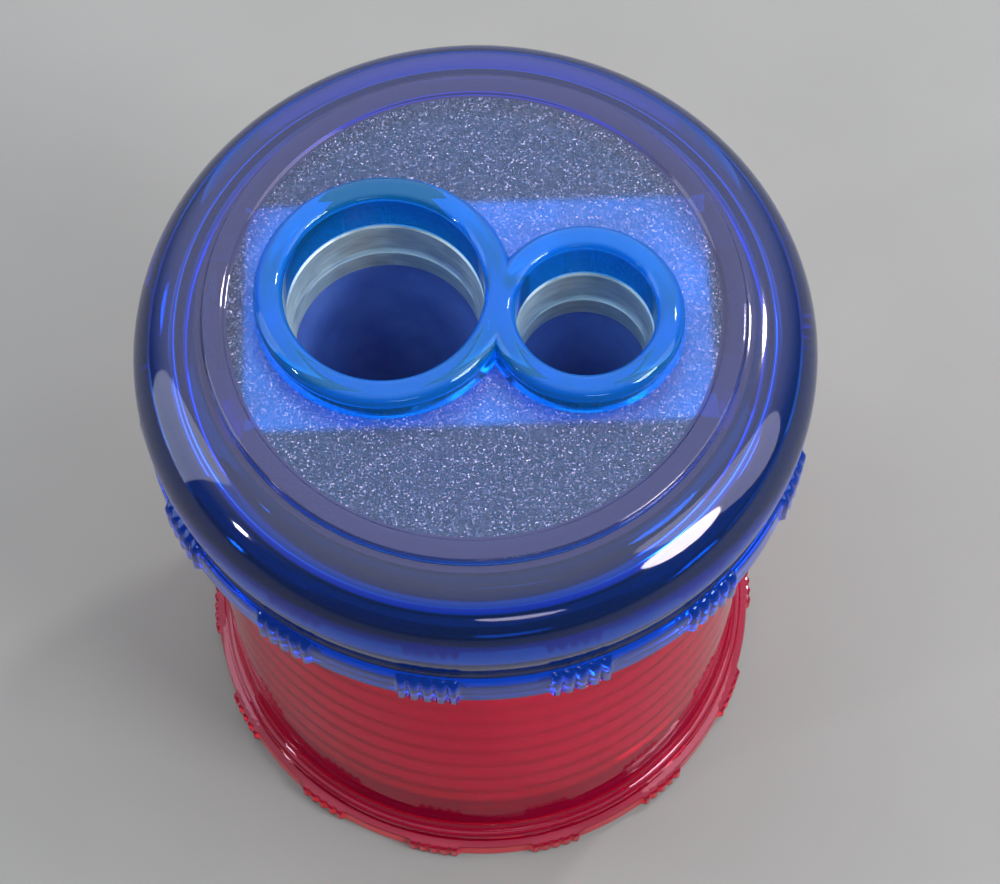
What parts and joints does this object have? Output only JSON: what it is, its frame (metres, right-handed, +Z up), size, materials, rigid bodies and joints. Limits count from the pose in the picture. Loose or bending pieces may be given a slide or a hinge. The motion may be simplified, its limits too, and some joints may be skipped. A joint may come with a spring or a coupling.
{
  "type": "pencil sharpener",
  "caption": "Round canister pencil sharpener: red tub, blue push-on lid with two pencil holes in a figure-eight collar, metal wedge block with a screwed blade for each hole.",
  "frame": {"origin": "centre of the underside of the tub, on the surface that it stands on", "axes": "+Z up through the tub and lid; -Y is the user's side, which the blades face; the jumbo hole is on the -X side"},
  "size_m": [0.0406, 0.0404, 0.047],
  "materials": {
    "red_plastic": "glossy clear-tinted red moulded plastic",
    "blue_plastic": "glossy clear-tinted blue moulded plastic with a frosted round disc on top",
    "block_metal": "machined and lightly worn cast light alloy",
    "blade_steel": "ground carbon steel",
    "screw_metal": "plated slotted screw"
  },
  "bodies": {
    "tub": {"canister": "red_plastic"},
    "lid": {"lid_shell": "blue_plastic", "sharpener_block": "block_metal", "blade_jumbo": "blade_steel", "blade_standard": "blade_steel"},
    "jumbo_screw": {"screw_jumbo": "screw_metal"},
    "standard_screw": {"screw_standard": "screw_metal"}
  },
  "joints": [
    {"name": "lid_lift", "type": "slide", "parent": "tub", "child": "lid", "axis": [0, 0, 1], "range_m": [0, 0.03]},
    {"name": "jumbo_screw_turn", "type": "hinge", "parent": "lid", "child": "jumbo_screw", "pos_m": [-0.0091, -0.00148, 0.025], "axis": [0, -0.9781, -0.2079], "continuous": true},
    {"name": "standard_screw_turn", "type": "hinge", "parent": "lid", "child": "standard_screw", "pos_m": [0.0031, -0.00148, 0.025], "axis": [0, -0.9781, -0.2079], "continuous": true}
  ]
}
